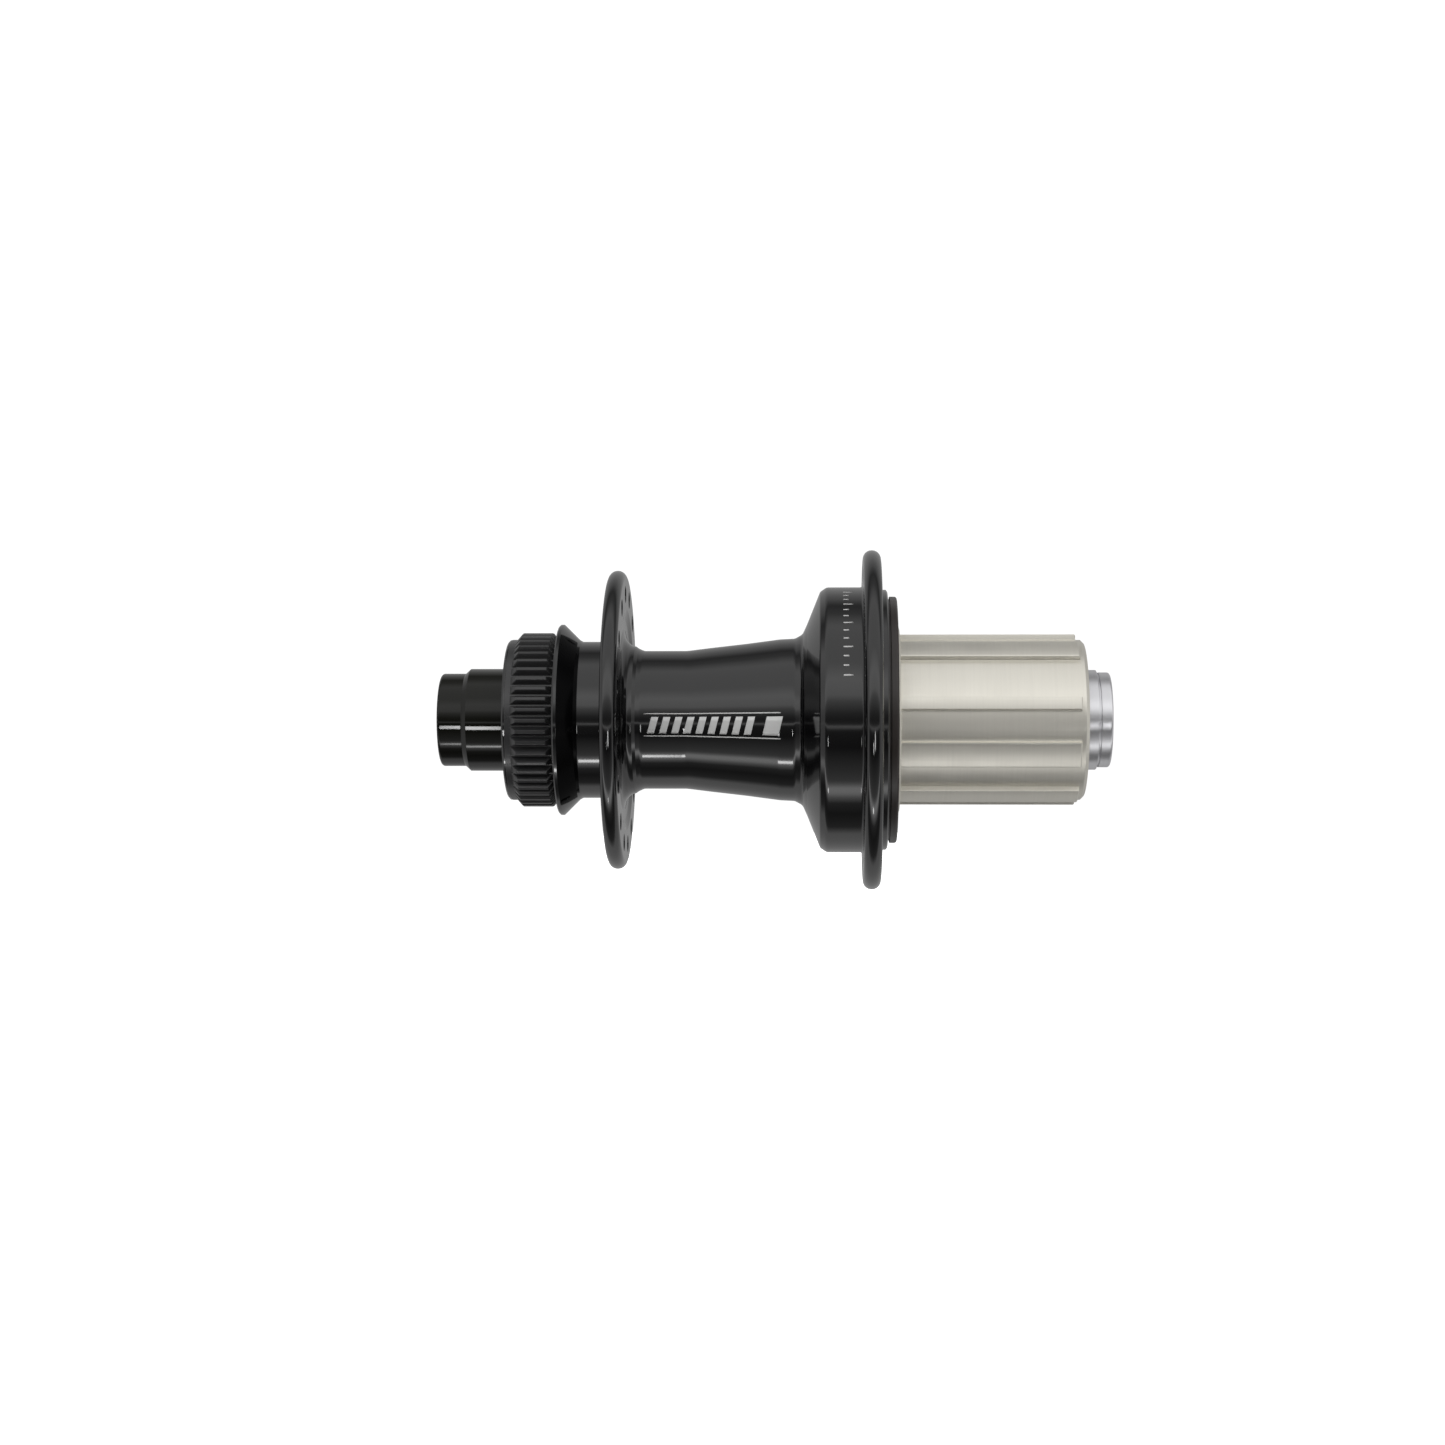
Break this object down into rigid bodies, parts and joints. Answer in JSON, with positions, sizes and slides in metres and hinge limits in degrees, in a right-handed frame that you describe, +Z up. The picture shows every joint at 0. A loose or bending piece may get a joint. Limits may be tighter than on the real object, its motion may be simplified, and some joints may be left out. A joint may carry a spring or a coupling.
{
  "type": "bicycle rear hub",
  "caption": "Bicycle rear hub with two spoke flanges, a centre-spline rotor boss, a ratchet freehub with cassette lands and stepped end caps for a thru axle.",
  "frame": {"origin": "on the hub axis, midway between the two end faces that the frame clamps", "axes": "+Y along the axle to the drive side, +Z up, +X to the side where the narrow cassette land is"},
  "size_m": [0.0686, 0.135, 0.0686],
  "materials": {
    "black_anodised": "gloss black anodise over turned aluminium",
    "silver_anodised": "satin hard anodise, warm grey",
    "bright_aluminium": "polished, clear anodise",
    "hardened_steel": "ground and hardened",
    "spring_steel": "blue-grey temper",
    "bearing_steel": "ground and polished",
    "cage_nylon": "moulded nylon",
    "seal_rubber": "matte moulded nitrile"
  },
  "bodies": {
    "axle_group": {"axle": "bright_aluminium", "disc_end_cap": "black_anodised", "drive_end_cap": "bright_aluminium", "disc_cap_o_ring": "seal_rubber", "drive_cap_o_ring": "seal_rubber", "shell_to_freehub_spacer": "bright_aluminium", "freehub_bearing_spacer": "bright_aluminium", "disc_bearing_inner_race": "bearing_steel", "drive_bearing_inner_race": "bearing_steel", "freehub_inner_bearing_inner_race": "bearing_steel", "freehub_outer_bearing_inner_race": "bearing_steel"},
    "shell": {"hub_shell": "black_anodised", "ratchet_ring": "hardened_steel", "freehub_seal": "seal_rubber", "disc_bearing_outer_race": "bearing_steel", "disc_bearing_seals": "seal_rubber", "drive_bearing_outer_race": "bearing_steel", "drive_bearing_seals": "seal_rubber"},
    "freehub": {"freehub_body": "silver_anodised", "freehub_circlip": "spring_steel", "freehub_inner_bearing_outer_race": "bearing_steel", "freehub_inner_bearing_seals": "seal_rubber", "freehub_outer_bearing_outer_race": "bearing_steel", "freehub_outer_bearing_seals": "seal_rubber", "pawl_spring_1": "spring_steel", "pawl_spring_2": "spring_steel", "pawl_spring_3": "spring_steel", "pawl_spring_4": "spring_steel", "pawl_spring_5": "spring_steel", "pawl_spring_6": "spring_steel"},
    "disc_bearing_ball_set": {"disc_bearing_balls": "bearing_steel", "disc_bearing_cage": "cage_nylon"},
    "drive_bearing_ball_set": {"drive_bearing_balls": "bearing_steel", "drive_bearing_cage": "cage_nylon"},
    "freehub_inner_bearing_ball_set": {"freehub_inner_bearing_balls": "bearing_steel", "freehub_inner_bearing_cage": "cage_nylon"},
    "freehub_outer_bearing_ball_set": {"freehub_outer_bearing_balls": "bearing_steel", "freehub_outer_bearing_cage": "cage_nylon"},
    "pawl_1": {"pawl_1": "hardened_steel"},
    "pawl_2": {"pawl_2": "hardened_steel"},
    "pawl_3": {"pawl_3": "hardened_steel"},
    "pawl_4": {"pawl_4": "hardened_steel"},
    "pawl_5": {"pawl_5": "hardened_steel"},
    "pawl_6": {"pawl_6": "hardened_steel"}
  },
  "joints": [
    {"name": "shell_spin", "type": "hinge", "parent": "axle_group", "child": "shell", "pos_m": [0, 0, 0], "axis": [0, 1, 0], "continuous": true},
    {"name": "freehub_spin", "type": "hinge", "parent": "axle_group", "child": "freehub", "pos_m": [0, 0, 0], "axis": [0, 1, 0], "continuous": true},
    {"name": "disc_bearing_orbit", "type": "hinge", "parent": "axle_group", "child": "disc_bearing_ball_set", "pos_m": [0, -0.0427, 0], "axis": [0, 1, 0], "continuous": true},
    {"name": "drive_bearing_orbit", "type": "hinge", "parent": "axle_group", "child": "drive_bearing_ball_set", "pos_m": [0, 0.0067, 0], "axis": [0, 1, 0], "continuous": true},
    {"name": "freehub_inner_bearing_orbit", "type": "hinge", "parent": "axle_group", "child": "freehub_inner_bearing_ball_set", "pos_m": [0, 0.015, 0], "axis": [0, 1, 0], "continuous": true},
    {"name": "freehub_outer_bearing_orbit", "type": "hinge", "parent": "axle_group", "child": "freehub_outer_bearing_ball_set", "pos_m": [0, 0.0505, 0], "axis": [0, 1, 0], "continuous": true},
    {"name": "pawl_1_swing", "type": "hinge", "parent": "freehub", "child": "pawl_1", "pos_m": [0.0166, 0.0158, 0], "axis": [0, 1, 0], "range_deg": [0, 9]},
    {"name": "pawl_2_swing", "type": "hinge", "parent": "freehub", "child": "pawl_2", "pos_m": [0.0083, 0.0158, -0.01438], "axis": [0, 1, 0], "range_deg": [0, 9]},
    {"name": "pawl_3_swing", "type": "hinge", "parent": "freehub", "child": "pawl_3", "pos_m": [-0.0083, 0.0158, -0.01438], "axis": [0, 1, 0], "range_deg": [0, 9]},
    {"name": "pawl_4_swing", "type": "hinge", "parent": "freehub", "child": "pawl_4", "pos_m": [-0.0166, 0.0158, 0], "axis": [0, 1, 0], "range_deg": [0, 9]},
    {"name": "pawl_5_swing", "type": "hinge", "parent": "freehub", "child": "pawl_5", "pos_m": [-0.0083, 0.0158, 0.01438], "axis": [0, 1, 0], "range_deg": [0, 9]},
    {"name": "pawl_6_swing", "type": "hinge", "parent": "freehub", "child": "pawl_6", "pos_m": [0.0083, 0.0158, 0.01438], "axis": [0, 1, 0], "range_deg": [0, 9]}
  ],
  "couplings": [
    {"joint": "disc_bearing_orbit", "follows": "shell_spin", "ratio": 0.5778},
    {"joint": "drive_bearing_orbit", "follows": "shell_spin", "ratio": 0.5851},
    {"joint": "freehub_inner_bearing_orbit", "follows": "freehub_spin", "ratio": 0.5651},
    {"joint": "freehub_outer_bearing_orbit", "follows": "freehub_spin", "ratio": 0.5651}
  ]
}
